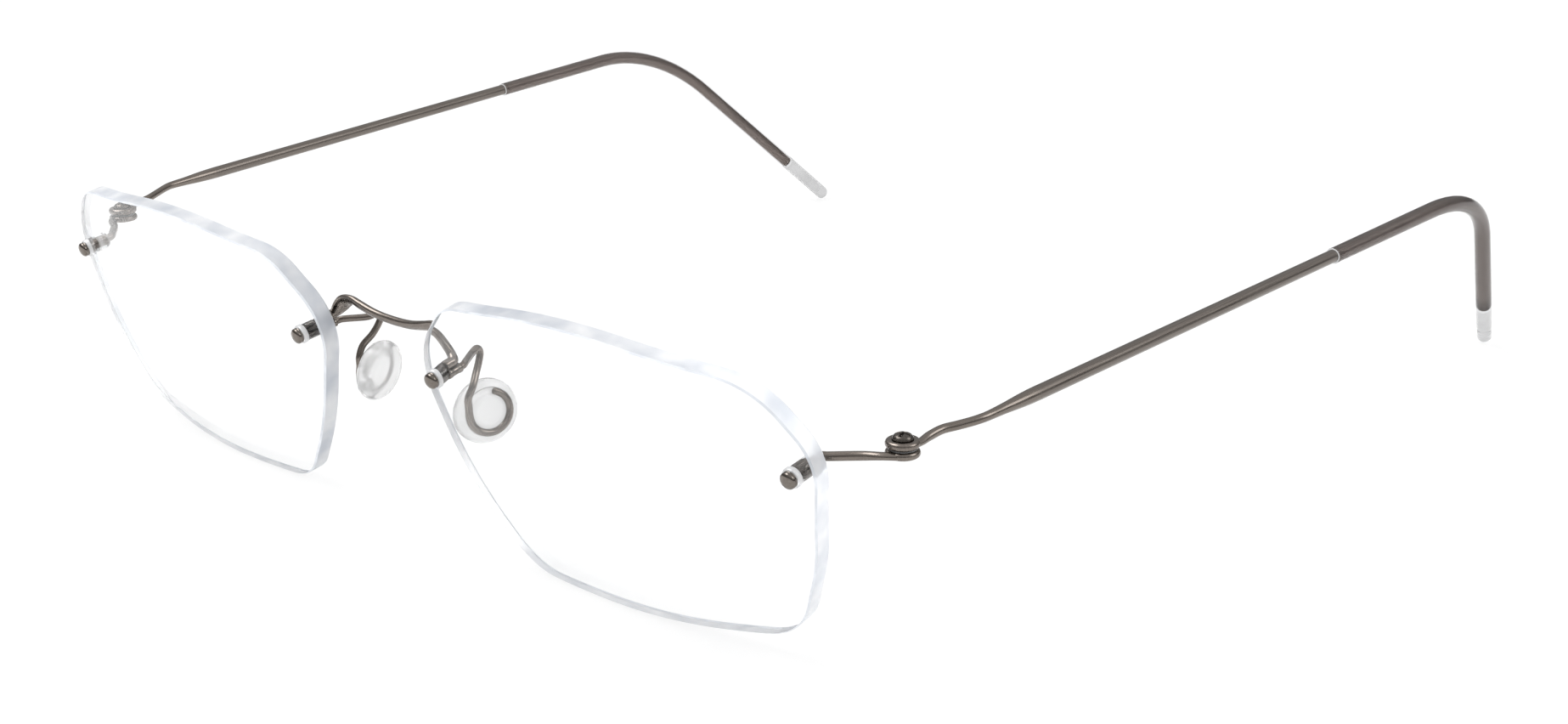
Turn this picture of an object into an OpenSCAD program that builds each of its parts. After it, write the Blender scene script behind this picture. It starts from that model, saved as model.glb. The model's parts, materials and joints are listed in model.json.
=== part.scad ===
// Rimless eyeglasses of bent titanium wire, standing on a table as when worn:
// X runs across the front with +X at the wearer's left, +Y runs back along the
// temples, Z = 0 is the table under the lenses and the temple tips.

/* [Lenses] */
// Width of one lens
lens_w = 51.2; // [44:0.1:62]
// Height of one lens
lens_h = 31.9; // [28:0.1:39]
// Thickness of the lens
lens_t = 2; // [1.6:0.1:2.6]
// Radius of the curved front surface
lens_r = 105; // [85:1:200]
// Smallest distance between the two lenses
lens_gap = 17.2; // [14:0.1:21]
// Tilt of the lenses, bottom edge towards the cheeks
lens_tilt = 12; // [8:0.5:16]
// Wrap of each lens towards the temple
lens_wrap = 3; // [0:0.5:6]
// Height of the optical centre over the middle of the lens
optic_rise = 2.6; // [0:0.1:4]
// Distance of the nasal hole from the edge of the lens by the nose
nasal_inset = 2.6; // [1.9:0.05:3.2]
// Distance of the temporal hole from the edge of the lens by the temple
temporal_inset = 1.9; // [1.85:0.05:3]
// Height of the drilled holes over the optical centre
hole_rise = 2.6; // [1:0.1:4]

/* [Fixings] */
// Diameter of the drilled hole
hole_d = 1.9; // [1.8:0.05:2.1]
// Diameter of the clear collar in front of the lens
collar_d = 2.1; // [2:0.05:2.6]
// Height of the clear collar over the lens on the pin axis
collar_h = 0.6; // [0.4:0.05:0.8]
// Diameter of the metal cap
cap_d = 1.72; // [1.5:0.02:2]
// Length of the metal cap
cap_h = 0.75; // [0.6:0.05:1.2]
// Rounding of the front edge of the cap
cap_round = 0.3; // [0.1:0.05:0.35]
// Length of the clear sleeve behind the lens at the temples
rear_sleeve = 1.2; // [0.8:0.1:2]
// Radial clearance between pieces that are pushed together
fit_gap = 0.01; // [0.01:0.01:0.03]

/* [Bridge and nose pads] */
// Diameter of the two bars behind each nasal hole
bar_d = 1.05; // [0.9:0.05:1.15]
// Length of the upper bar behind each nasal hole
bar_len = 1; // [0.8:0.1:2.4]
// Length of the pressed sleeve on the lower bar
crimp_len = 1.7; // [1.2:0.1:2]
// Diameter of the thin wire tails inside the nasal holes
tail_d = 0.66; // [0.5:0.02:0.7]
// Greatest width of the flattened bridge wire
bridge_w = 1.8; // [1.4:0.1:2]
// Thickness of the flattened bridge wire
bridge_t = 0.9; // [0.8:0.1:1.1]
// Height of the bridge arch over the pin axis
bridge_rise = 2.3; // [1:0.1:4]
// Diameter of the nose pad wire
arm_d = 0.76; // [0.6:0.02:0.9]
// Diameter of a nose pad
pad_d = 6.9; // [6:0.1:9]
// Thickness of a nose pad
pad_t = 2.1; // [1.8:0.1:2.6]
// Radius of the wire loop in the nose pad
loop_r = 2.2; // [1.6:0.1:2.4]
// Distance from the nasal pin axis in to the middle of the pad
pad_in = 1.85; // [1.5:0.05:3]
// Distance from the nasal pin axis back to the middle of the pad
pad_back = 8.25; // [6.5:0.05:9.5]
// Distance from the nasal pin axis down to the middle of the pad
pad_down = 6; // [5:0.1:8]

/* [Hinges] */
// Distance from the temple pin axis out to the hinge
hinge_out = 5.6; // [4.5:0.1:8]
// Distance from the temple hole back to the hinge
hinge_back = 8.6; // [7:0.1:11]
// Height of the hinge over the temple hole
hinge_up = 1.2; // [1:0.1:2.5]
// Outside diameter of the two hinge eyes
eye_d = 3.3; // [2.9:0.1:3.8]
// Thickness of each eye
eye_t = 0.75; // [0.7:0.05:1.1]
// Thickness of the washer between the eyes
washer_t = 0.15; // [0.1:0.05:0.3]
// Diameter of the hinge screw's shank
screw_d = 1.2; // [1:0.05:1.4]
// Diameter of the screw head
head_d = 2.06; // [1.8:0.02:2.4]
// Height of the domed screw head
head_h = 0.55; // [0.4:0.05:0.7]
// Radial running clearance of the turning eye
run_gap = 0.03; // [0.02:0.01:0.08]

/* [Temples] */
// Diameter of the wire at the hinge
wire_d = 0.9; // [0.8:0.02:1]
// Diameter of the straight rod
rod_d = 1.46; // [1.3:0.02:1.6]
// Diameter of the core inside the clear sleeve
core_d = 1.34; // [1.1:0.02:1.4]
// Distance from the hinge back to the start of the clear sleeve
sleeve_at = 67.5; // [50:0.5:80]
// Length over which the thin wire thickens into the rod
taper_len = 6.5; // [3:0.5:10]
// Distance from the hinge back to the corner of the ear bend
bend_at = 100.5; // [90:0.5:122]
// Radius of the ear bend
bend_r = 26; // [18:0.5:36]
// Slope of the leg behind the ear, from level
leg_slope = 42.5; // [38:0.5:52]
// Sideways run-in of the leg, in degrees of plan angle
leg_in = 20; // [10:0.5:24]
// Rise of the straight rod, in degrees
rod_rise = 2.8; // [1:0.1:5]
// Spread of the straight rod, in degrees of plan angle
rod_spread = 2.4; // [1:0.2:6]
// Outside diameter of the clear sleeve at its start
sleeve_d = 1.78; // [1.7:0.02:2]
// Outside diameter of the clear sleeve at its tip
tip_d = 2.04; // [1.96:0.02:2.3]
// Length of the exact round tip of the sleeve
tip_len = 13; // [11:0.5:15]
// Length of the solid end of the sleeve
tip_end = 1.8; // [1.1:0.1:2.5]
// Length of the empty bore beyond the core
bore_len = 7.8; // [2:0.1:10]
// Depth of the mouth of the sleeve over the full rod
mouth_len = 0.7; // [0.4:0.1:1.5]

/* [Hidden] */
$fn = 48;
titanium = [0.47, 0.43, 0.40];
clear = [0.86, 0.88, 0.90, 0.5];
silicone = [0.90, 0.90, 0.90, 0.6];
half_w = lens_w / 2;
half_h = lens_h / 2;

// Corners of the lens, from its middle: across, up, radius of the corner.
// Positive across is towards the temple.
LENS_CORNERS = [
    [-2.5, half_h + 0.5, 75],
    [half_w - 5.2, half_h - 2.2, 10],
    [half_w + 0.5, half_h - 9.2, 7],
    [half_w - 1.3, -4.6, 22],
    [half_w - 4.9, 2.1 - half_h, 7],
    [4.5, -half_h - 0.1, 100],
    [10.6 - half_w, -half_h, 6.6],
    [3.6 - half_w, -6.4, 40],
    [-half_w - 1.1, half_h - 9.2, 8],
    [5.9 - half_w, half_h - 2, 8]];

function unit(v) = v / norm(v);
function tail(p, n) = [for (i = [0 : n - 1]) p[i]];

// Arc that rounds corner i of a closed outline
function corner_arc(c, i, steps = 7) =
    let (n = len(c),
         b = tail(c[i], 2),
         a = unit(tail(c[(i + n - 1) % n], 2) - b),
         d = unit(tail(c[(i + 1) % n], 2) - b),
         half = acos(a * d) / 2,
         back = min(c[i][2] / tan(half), 0.48 * norm(tail(c[(i + n - 1) % n], 2) - b),
                    0.48 * norm(tail(c[(i + 1) % n], 2) - b)),
         r = back * tan(half),
         o = b + unit(a + d) * r / sin(half),
         p = b + a * back - o,
         turn = 180 - 2 * half)
    [for (k = [0 : steps])
        let (t = -turn * k / steps)
        o + [p.x * cos(t) - p.y * sin(t), p.x * sin(t) + p.y * cos(t)]];
LENS_OUTLINE = [for (i = [0 : len(LENS_CORNERS) - 1]) each corner_arc(LENS_CORNERS, i)];

// Sag of a spherical surface of radius r at a distance d from its vertex
function sag(d, r) = r - sqrt(r * r - d * d);

// A point given across, back and up in the lens's own frame, turned to stand
function turned(p) =
    let (x = p.x * cos(lens_wrap) - p.y * sin(lens_wrap),
         y = p.x * sin(lens_wrap) + p.y * cos(lens_wrap))
    [x, y * cos(lens_tilt) - p.z * sin(lens_tilt), y * sin(lens_tilt) + p.z * cos(lens_tilt)];
EDGE = [for (q = LENS_OUTLINE)
    let (v = q.y - optic_rise)
    turned([q.x, sag(norm([q.x, v]), lens_r), v])];
// Back edge of the lens, which comes nearest the other lens
BACK_EDGE = [for (q = LENS_OUTLINE)
    let (v = q.y - optic_rise)
    turned([q.x, lens_t + sag(norm([q.x, v]), lens_r), v])];
lens_x = lens_gap / 2 - min([for (p = concat(EDGE, BACK_EDGE)) p.x]);
lens_z = -min([for (p = EDGE) p.z]);
function at_lens(p) = [lens_x, 0, lens_z] + turned(p);

// Pin axes in the lens's own frame
hole_v = hole_rise;
nasal_u = nasal_inset - half_w;
temporal_u = half_w - temporal_inset;
nasal_face = sag(norm([nasal_u, hole_v]), lens_r);
temporal_face = sag(norm([temporal_u, hole_v]), lens_r);
bar_step = (bar_d + fit_gap) / 2;
nasal_back = nasal_face + lens_t + 0.35;
temporal_back = temporal_face + lens_t + rear_sleeve + 0.35;
crimp_d = bar_d;

// Hinge axis: the eyes lie level, so the axis is upright
TEMPORAL = at_lens([temporal_u, temporal_face + lens_t, hole_v]);
HINGE = TEMPORAL + [hinge_out, hinge_back - lens_t, hinge_up];
eye_bore = screw_d + 2 * run_gap;
lower_z = HINGE.z - washer_t / 2 - fit_gap - eye_t;
washer_z = HINGE.z - washer_t / 2;
upper_z = HINGE.z + washer_t / 2 + fit_gap;
head_z = upper_z + eye_t + fit_gap;
eye_mean = (eye_d + eye_bore) / 4;
// Half height of the wire where it joins an eye
flat_r = min(wire_d, eye_t) / 2 - fit_gap;

// Straight rod and leg of a temple
ROD_DIR = [sin(rod_spread) * cos(rod_rise), cos(rod_spread) * cos(rod_rise), sin(rod_rise)];
LEG_DIR = [-sin(leg_in) * cos(leg_slope), cos(leg_in) * cos(leg_slope), -sin(leg_slope)];
rod_from = 9;
ROD_START = [HINGE.x + 3.05, HINGE.y + rod_from, upper_z + eye_t / 2 + 0.92];
CORNER = ROD_START + ROD_DIR * (bend_at - rod_from) / ROD_DIR.y;
leg_len = (CORNER.z - tip_d / 2) / -LEG_DIR.z;
LEG_END = CORNER + LEG_DIR * leg_len;
SLEEVE_START = ROD_START + ROD_DIR * (sleeve_at - rod_from) / ROD_DIR.y;
bend_angle = acos(ROD_DIR * LEG_DIR);
bend_cut = bend_r * tan(bend_angle / 2);
BEND_IN = CORNER - ROD_DIR * bend_cut;
BEND_OUT = CORNER + LEG_DIR * bend_cut;
core_stop = leg_len + tip_d / 2 - tip_end - bore_len;
front_y = min([for (p = EDGE) p.y]);
middle_y = (front_y + LEG_END.y + tip_d / 2) / 2;
bend_ease = 0.01;

// Middle of the nose pad, and its directions: out towards the lens, back, up
NASAL = at_lens([nasal_u, nasal_face, hole_v]);
PAD = NASAL + [-pad_in, pad_back, -pad_down];
PAD_OUT = unit([0.95, -0.25, 0.15]);
PAD_BACK = unit(cross([0, 0, 1], PAD_OUT));
PAD_UP = cross(PAD_OUT, PAD_BACK);
groove_h = pad_t / 2 + 0.05;
function on_pad(u, v, out) = PAD + PAD_BACK * u + PAD_UP * v + PAD_OUT * out;
// A point of the free pad wire; its height follows the height of the bars
function on_arm(x, y, z) = PAD + [x, y, z * pad_down / 6];

// Smooth curve through the points p; each point may carry sizes after x, y, z
function bent(a, b, c, d, t) =
    (2 * b + (c - a) * t + (2 * a - 5 * b + 4 * c - d) * t * t
     + (3 * b - a - 3 * c + d) * t * t * t) / 2;
function smooth(p, steps) =
    let (n = len(p) - 1)
    [for (i = [0 : n - 1]) for (k = [0 : steps - 1])
        bent(p[max(i - 1, 0)], p[i], p[i + 1], p[min(i + 2, n)], k / steps), p[n]];
function along(c) =
    let (n = len(c) - 1)
    [for (i = [0 : n]) unit(tail(c[min(i + 1, n)], 3) - tail(c[max(i - 1, 0)], 3))];
// Side directions carried along the curve without twisting
function carried(t, u) =
    len(t) == 0 ? [] :
    let (s = unit(u - (u * t[0]) * t[0]))
    concat([s], carried([for (i = [1 : 1 : len(t) - 1]) t[i]], s));

// Wire with an oval section swept through points [x, y, z, half width, half thickness]
module wire(p, side, steps = 4, corners = 12) {
    c = smooth(p, steps);
    t = along(c);
    s = carried(t, side);
    n = len(c);
    rings = [for (i = [0 : n - 1]) for (k = [0 : corners - 1])
        let (a = 360 * k / corners)
        tail(c[i], 3) + s[i] * c[i][3] * cos(a) + cross(t[i], s[i]) * c[i][4] * sin(a)];
    skin = [for (i = [0 : n - 2]) for (k = [0 : corners - 1])
        let (a = i * corners + k, b = i * corners + (k + 1) % corners)
        each [[a, a + corners, b], [b, a + corners, b + corners]]];
    first = [for (k = [0 : corners - 1]) k];
    last = [for (k = [0 : corners - 1]) n * corners - 1 - k];
    polyhedron(rings, concat(skin, [first, last]));
}

// Round bar from a to b, with its own radius at each end
module bar(a, b, r1, r2) {
    d = b - a;
    translate(a)
        rotate([0, acos(d.z / norm(d)), atan2(d.y, d.x)])
            cylinder(h = norm(d), r1 = r1, r2 = r2);
}

// Round bend from BEND_IN to BEND_OUT, reaching a little into the straights
module ear_bend(r) {
    lap = 0.4;
    inward = unit(LEG_DIR - (LEG_DIR * ROD_DIR) * ROD_DIR);
    middle = BEND_IN + inward * bend_r;
    axis = cross(-inward, ROD_DIR);
    multmatrix([
        [-inward.x, ROD_DIR.x, axis.x, middle.x],
        [-inward.y, ROD_DIR.y, axis.y, middle.y],
        [-inward.z, ROD_DIR.z, axis.z, middle.z],
        [0, 0, 0, 1]])
        rotate([0, 0, -lap])
            rotate_extrude(angle = bend_angle + 2 * lap)
                translate([bend_r, 0])
                    circle(r - bend_ease);
}

module in_lens_frame() {
    translate([lens_x, 0, lens_z])
        rotate([lens_tilt, 0, 0])
            rotate([0, 0, lens_wrap])
                children();
}

// Bar along the pin axis of the hole at (u, hole_v), from depth a to depth b
module pin_bar(u, a, b, d, lift = 0) {
    translate([u, a, hole_v + lift])
        rotate([-90, 0, 0])
            cylinder(h = b - a, d = d);
}

module lens() {
    in_lens_frame()
        difference() {
            intersection() {
                rotate([90, 0, 0])
                    translate([0, -optic_rise, -14])
                        linear_extrude(28)
                            polygon(LENS_OUTLINE);
                translate([0, lens_r, 0])
                    sphere(r = lens_r, $fn = 180);
            }
            translate([0, lens_r, 0])
                sphere(r = lens_r - lens_t, $fn = 180);
            for (u = [nasal_u, temporal_u])
                pin_bar(u, -1, 14, hole_d);
        }
}

// Clear bush: a collar that follows the curved lens, and a tube through the hole
module bush(u, face, end) {
    difference() {
        union() {
            difference() {
                pin_bar(u, face - collar_h, face + 1, collar_d);
                translate([0, lens_r, 0])
                    sphere(r = lens_r + fit_gap, $fn = 180);
            }
            pin_bar(u, face - collar_h, end, hole_d - 2 * fit_gap);
        }
        children();
    }
}

module nasal_bush() {
    in_lens_frame()
        bush(nasal_u, nasal_face, nasal_face + lens_t)
            for (lift = [bar_step, -bar_step] * 0.68)
                pin_bar(nasal_u, 0, 9, tail_d + 2 * fit_gap, lift);
}

module temporal_bush() {
    in_lens_frame()
        bush(temporal_u, temporal_face, temporal_face + lens_t + rear_sleeve)
            pin_bar(temporal_u, 0, 12, wire_d + 2 * fit_gap);
}

// Metal cap with a rounded front edge and a blind bore for the wire ends
module cap(u, face, bore_d, bore_depth) {
    r = cap_d / 2;
    difference() {
        translate([u, face - collar_h - fit_gap, hole_v])
            rotate([90, 0, 0])
                rotate_extrude() {
                    square([r, cap_h - cap_round]);
                    square([r - cap_round, cap_h]);
                    translate([r - cap_round, cap_h - cap_round])
                        circle(cap_round);
                }
        pin_bar(u, face - collar_h - fit_gap - bore_depth, face, bore_d);
    }
}

module nasal_cap() {
    in_lens_frame()
        cap(nasal_u, nasal_face, cap_d - 0.3, cap_h - 0.25);
}

module temporal_cap() {
    in_lens_frame()
        cap(temporal_u, temporal_face, wire_d + 2 * fit_gap, cap_h - 0.25);
}

// Depth at which the wire ends stop inside the caps
function tail_stop(face) = face - collar_h - cap_h + 0.3;
tail_lift = bar_step * 0.68;

module bridge_half() {
    lift = bar_step;
    a = at_lens([nasal_u, nasal_back + bar_len - 0.4, hole_v + lift]);
    b = at_lens([nasal_u, nasal_back + bar_len, hole_v + lift]);
    r = bar_d / 2;
    in_lens_frame() {
        pin_bar(nasal_u, nasal_back, nasal_back + bar_len, bar_d, lift);
        pin_bar(nasal_u, tail_stop(nasal_face), nasal_back + 0.1, tail_d, tail_lift);
    }
    top = NASAL.z + bridge_rise;
    w = bridge_w / 2;
    t = bridge_t / 2;
    wire([
        concat(a, [r - 0.03, r - 0.03]),
        concat(b + [-0.06, 0.08, 0.03], [r, r]),
        [NASAL.x - 0.9, b.y + 0.45, b.z + 0.45, 0.66 * w, t],
        [NASAL.x - 1.9, b.y + 0.5, b.z + 1.35, 0.95 * w, 0.94 * t],
        [NASAL.x - 3, b.y + 0.45, top + 1.1, w, 0.9 * t],
        [NASAL.x - 4.3, b.y + 0.4, top + 1.42, 0.88 * w, 0.9 * t],
        [NASAL.x - 5.9, b.y + 0.35, top + 1.12, 0.76 * w, t],
        [NASAL.x - 7.6, b.y + 0.35, top + 0.8, 0.68 * w, t],
        [2, b.y + 0.4, top + 0.6, 0.63 * w, t],
        [0, b.y + 0.4, top + 0.55, 0.62 * w, t]],
        [0, -1, 0.2]);
}

module bridge() {
    bridge_half();
    mirror([1, 0, 0])
        bridge_half();
}

// Wire from the nasal hole: over, down to the pad and round in its groove
module pad_arm() {
    r = arm_d / 2;
    in_lens_frame()
        pin_bar(nasal_u, tail_stop(nasal_face), nasal_back - fit_gap, tail_d, -tail_lift);
    in_lens_frame()
        pin_bar(nasal_u, nasal_back - 0.25, nasal_back + crimp_len + 0.35, arm_d, -bar_step);
    s = at_lens([nasal_u, nasal_back + crimp_len + 0.05, hole_v - bar_step]);
    e = at_lens([nasal_u, nasal_back + crimp_len + 0.35, hole_v - bar_step]);
    path = [
        s,
        e,
        e + [-0.4, 0.65, 0.1],
        on_arm(-0.2, -1.3, 6.55),
        on_arm(-0.58, -0.3, 6.78),
        on_arm(-0.66, 0.15, 6.3),
        on_arm(-0.52, -0.1, 5.5),
        on_arm(-0.2, -0.8, 4.4),
        on_arm(0.35, -1.75, 3.25),
        on_pad(-loop_r, 1.9, groove_h + 0.12),
        on_pad(-loop_r, 0.9, groove_h),
        for (k = [0 : 10])
            let (t = 180 + k * 25)
            on_pad(loop_r * cos(t), loop_r * sin(t), groove_h)];
    last = len(path) - 1;
    wire([for (i = [0 : last]) concat(path[i], [1, 1] * (r - (i < 2 ? 0.03 : 0)))],
        [0, 0, 1], 3, 12);
}

// Pressed sleeve that grips the pad wire behind the lens
module pad_crimp() {
    in_lens_frame()
        difference() {
            pin_bar(nasal_u, nasal_back, nasal_back + crimp_len, crimp_d, -bar_step);
            pin_bar(nasal_u, nasal_back - 1, nasal_back + crimp_len + 1,
                arm_d + 2 * fit_gap, -bar_step);
        }
}

module pad_frame() {
    multmatrix([
        [PAD_BACK.x, PAD_UP.x, PAD_OUT.x, PAD.x],
        [PAD_BACK.y, PAD_UP.y, PAD_OUT.y, PAD.y],
        [PAD_BACK.z, PAD_UP.z, PAD_OUT.z, PAD.z],
        [0, 0, 0, 1]])
        children();
}

module nose_pad() {
    edge = pad_t / 2;
    groove = arm_d / 2 + 0.05;
    pad_frame()
        difference() {
            rotate_extrude() {
                translate([0, -edge])
                    square([pad_d / 2 - edge, pad_t]);
                translate([pad_d / 2 - edge, 0])
                    intersection() {
                        circle(edge);
                        translate([0, -edge])
                            square([edge, pad_t]);
                    }
            }
            translate([0, 0, groove_h])
                rotate_extrude()
                    translate([loop_r, 0])
                        circle(groove);
            translate([-loop_r - groove - 0.04, 0.6, groove_h - groove + 0.04])
                cube([2 * groove + 0.35, pad_d, pad_t]);
        }
}

// Flat eye with rounded edges, bored for the screw
module eye(z, bore_d) {
    e = eye_t / 2;
    r = eye_d / 2;
    soft = 0.25;
    translate([HINGE.x, HINGE.y, z + e])
        difference() {
            rotate_extrude() {
                translate([0, -e])
                    square([r - soft, eye_t]);
                translate([0, soft - e])
                    square([r, eye_t - 2 * soft]);
                for (lift = [soft - e, e - soft])
                    translate([r - soft, lift])
                        circle(soft);
            }
            translate([0, 0, -eye_t])
                cylinder(h = 2 * eye_t, d = bore_d);
        }
}

module end_piece() {
    r = wire_d / 2;
    stop = tail_stop(temporal_face);
    in_lens_frame()
        pin_bar(temporal_u, stop, temporal_back, wire_d);
    a = at_lens([temporal_u, temporal_back - 0.4, hole_v]);
    b = at_lens([temporal_u, temporal_back, hole_v]);
    mid = lower_z + eye_t / 2;
    ring = eye_mean * [0.64, -0.77];
    path = [
        a,
        b + [0.05, 0.15, 0.02],
        b + [0.75, 0.75, 0.05],
        [HINGE.x - 2.6, HINGE.y - 2.75, mid - 0.2],
        [HINGE.x + ring.x - 1.5, HINGE.y + ring.y - 1.1, mid],
        [HINGE.x + ring.x, HINGE.y + ring.y, mid]];
    size = [[r - 0.04, r - 0.04], [r, r], [r, r], [r, r], [flat_r, r], [flat_r, r - 0.04]];
    wire([for (i = [0 : len(path) - 1]) concat(path[i], size[i])], [0, 0, 1]);
    eye(lower_z, screw_d + 2 * fit_gap);
}

module hinge_washer() {
    translate([HINGE.x, HINGE.y, washer_z])
        difference() {
            cylinder(h = washer_t, d = eye_d - 0.5);
            translate([0, 0, -1])
                cylinder(h = 2, d = eye_bore);
        }
}

module hinge_screw() {
    dome_r = (head_d * head_d / 4 + head_h * head_h) / (2 * head_h);
    translate([HINGE.x, HINGE.y, 0])
        difference() {
            union() {
                translate([0, 0, lower_z + 0.05])
                    cylinder(h = head_z - lower_z, d = screw_d);
                intersection() {
                    translate([0, 0, head_z])
                        cylinder(h = head_h, d = head_d);
                    translate([0, 0, head_z + head_h - dome_r - 0.02])
                        sphere(r = dome_r + 0.12);
                }
            }
            for (turn = [0, 90])
                translate([0, 0, head_z + head_h])
                    rotate([0, 0, turn + 20])
                        cube([head_d * 0.62, 0.24, 0.5], center = true);
        }
}

module temple() {
    r = wire_d / 2;
    mid = upper_z + eye_t / 2;
    rod_r = rod_d / 2;
    path = [
        [eye_mean * 0.98, 0.2, 0, flat_r, r],
        [eye_mean * 0.95, 1.4, 0.02, flat_r, r],
        [1, 2.6, 0.16, r, r],
        [1.2, 4.2, 0.4, r, r],
        [1.85, 5.6, 0.54, r, r],
        [2.5, 7, 0.7, r, r],
        [2.9, 8.1, 0.84, r + 0.01, r + 0.01]];
    // Share of the taper, and share of the thickening reached there
    taper = [[0, 0.08], [0.3, 0.3], [0.6, 0.7], [0.8, 0.88], [1, 0.96]];
    wire(concat(
        [for (p = path) p + [HINGE.x, HINGE.y, mid, 0, 0]],
        [for (q = taper) concat(ROD_START + ROD_DIR * taper_len * q.x,
            [1, 1] * (r + (rod_r - r) * q.y))]),
        [0, 0, 1]);
    eye(upper_z, eye_bore);
    rod_to = SLEEVE_START + ROD_DIR * (mouth_len - fit_gap);
    bar(ROD_START + ROD_DIR * (taper_len - 0.3), rod_to, rod_r, rod_r);
    bar(rod_to - ROD_DIR * 0.1, BEND_IN, core_d / 2, core_d / 2);
    ear_bend(core_d / 2);
    bar(BEND_OUT, CORNER + LEG_DIR * (core_stop - fit_gap), core_d / 2, core_d / 2);
}

module temple_sleeve() {
    mid_r = (sleeve_d + tip_d) / 4;
    bore_r = core_d / 2 + fit_gap;
    tip_from = LEG_END - LEG_DIR * tip_len;
    mouth = SLEEVE_START + ROD_DIR * mouth_len;
    bore_end = CORNER + LEG_DIR * (leg_len + tip_d / 2 - tip_end);
    difference() {
        union() {
            bar(SLEEVE_START, BEND_IN, sleeve_d / 2, mid_r);
            ear_bend(mid_r);
            bar(BEND_OUT, tip_from + LEG_DIR * 0.1, mid_r, tip_d / 2 - bend_ease);
            bar(tip_from, LEG_END, tip_d / 2, tip_d / 2);
            translate(LEG_END)
                sphere(r = tip_d / 2 - bend_ease);
        }
        bar(SLEEVE_START - ROD_DIR, mouth, rod_d / 2 + fit_gap, rod_d / 2 + fit_gap);
        bar(mouth - ROD_DIR * 0.15, BEND_IN, bore_r, bore_r);
        ear_bend(bore_r);
        bar(BEND_OUT, bore_end, bore_r, bore_r);
    }
}

// Puts the middle of the whole length at Y = 0; the wearer's right is the left
// piece mirrored
module left() {
    translate([0, -middle_y, 0])
        children();
}

module right() {
    mirror([1, 0, 0])
        left()
            children();
}

color(clear) left() lens();  // left_lens
color(clear) right() lens();  // right_lens
color(silicone) left() nasal_bush();  // left_nasal_bush
color(silicone) right() nasal_bush();  // right_nasal_bush
color(silicone) left() temporal_bush();  // left_temporal_bush
color(silicone) right() temporal_bush();  // right_temporal_bush
color(titanium) left() nasal_cap();  // left_nasal_cap
color(titanium) right() nasal_cap();  // right_nasal_cap
color(titanium) left() temporal_cap();  // left_temporal_cap
color(titanium) right() temporal_cap();  // right_temporal_cap
color(titanium) left() bridge();
color(titanium) left() pad_arm();  // left_pad_arm
color(titanium) right() pad_arm();  // right_pad_arm
color(titanium) left() pad_crimp();  // left_pad_crimp
color(titanium) right() pad_crimp();  // right_pad_crimp
color(silicone) left() nose_pad();  // left_nose_pad
color(silicone) right() nose_pad();  // right_nose_pad
color(titanium) left() end_piece();  // left_end_piece
color(titanium) right() end_piece();  // right_end_piece
color(clear) left() hinge_washer();  // left_hinge_washer
color(clear) right() hinge_washer();  // right_hinge_washer
color(titanium) left() hinge_screw();  // left_hinge_screw
color(titanium) right() hinge_screw();  // right_hinge_screw
color(titanium) left() temple();  // left_temple
color(titanium) right() temple();  // right_temple
color(silicone) left() temple_sleeve();  // left_temple_sleeve
color(silicone) right() temple_sleeve();  // right_temple_sleeve
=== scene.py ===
"""Looks of the rimless wire eyeglasses: every CAD piece gets a finely meshed stand-in."""
import json
import math

import bpy
import numpy as np
from mathutils import Matrix, Vector
from mathutils.geometry import delaunay_2d_cdt


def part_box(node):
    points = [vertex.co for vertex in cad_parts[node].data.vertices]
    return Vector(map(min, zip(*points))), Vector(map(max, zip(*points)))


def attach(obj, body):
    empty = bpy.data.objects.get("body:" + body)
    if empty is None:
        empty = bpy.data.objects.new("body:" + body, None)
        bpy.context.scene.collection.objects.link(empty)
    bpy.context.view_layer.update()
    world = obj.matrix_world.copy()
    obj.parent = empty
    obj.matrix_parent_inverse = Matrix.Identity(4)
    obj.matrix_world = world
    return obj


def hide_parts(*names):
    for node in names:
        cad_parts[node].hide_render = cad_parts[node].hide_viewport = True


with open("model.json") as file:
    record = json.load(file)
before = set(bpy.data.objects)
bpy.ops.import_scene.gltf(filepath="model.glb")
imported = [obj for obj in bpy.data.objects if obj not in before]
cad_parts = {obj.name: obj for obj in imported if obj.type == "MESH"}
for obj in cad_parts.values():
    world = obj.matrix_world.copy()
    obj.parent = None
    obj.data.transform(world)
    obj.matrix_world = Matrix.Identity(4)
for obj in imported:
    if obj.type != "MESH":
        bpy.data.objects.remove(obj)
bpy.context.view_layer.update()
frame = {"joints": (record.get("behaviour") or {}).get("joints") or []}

MM = 0.001

# ---------------------------------------------------------------- sizes, in millimetres
LENS_W = 51.2
LENS_H = 31.9
LENS_T = 2.0
LENS_R = 105.0
LENS_TILT = math.radians(12)
LENS_WRAP = math.radians(3)
OPTIC_RISE = 2.6
HOLE_RISE = 2.6
NASAL_INSET = 2.6
TEMPORAL_INSET = 1.9
HOLE_D = 1.9
CHAMFER = 0.16

COLLAR_D = 2.1
COLLAR_H = 0.6
CAP_D = 1.72
CAP_H = 0.75
REAR_SLEEVE = 1.2
SEAT = 0.01

BAR_D = 1.05
BAR_LEN = 1.0
TAIL_D = 0.66
BRIDGE_W = 1.8
BRIDGE_T = 0.9
BRIDGE_RISE = 2.3
ARM_D = 0.76
CRIMP_LEN = 1.7
PAD_D = 6.9
PAD_T = 2.1
LOOP_R = 2.2

EYE_D = 3.3
EYE_T = 0.75
EYE_SOFT = 0.34
WASHER_T = 0.15
SCREW_D = 1.2
HEAD_D = 2.06
HEAD_H = 0.55
RUN_GAP = 0.03
WIRE_D = 0.9
ROD_D = 1.46
CORE_D = 1.34

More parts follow.
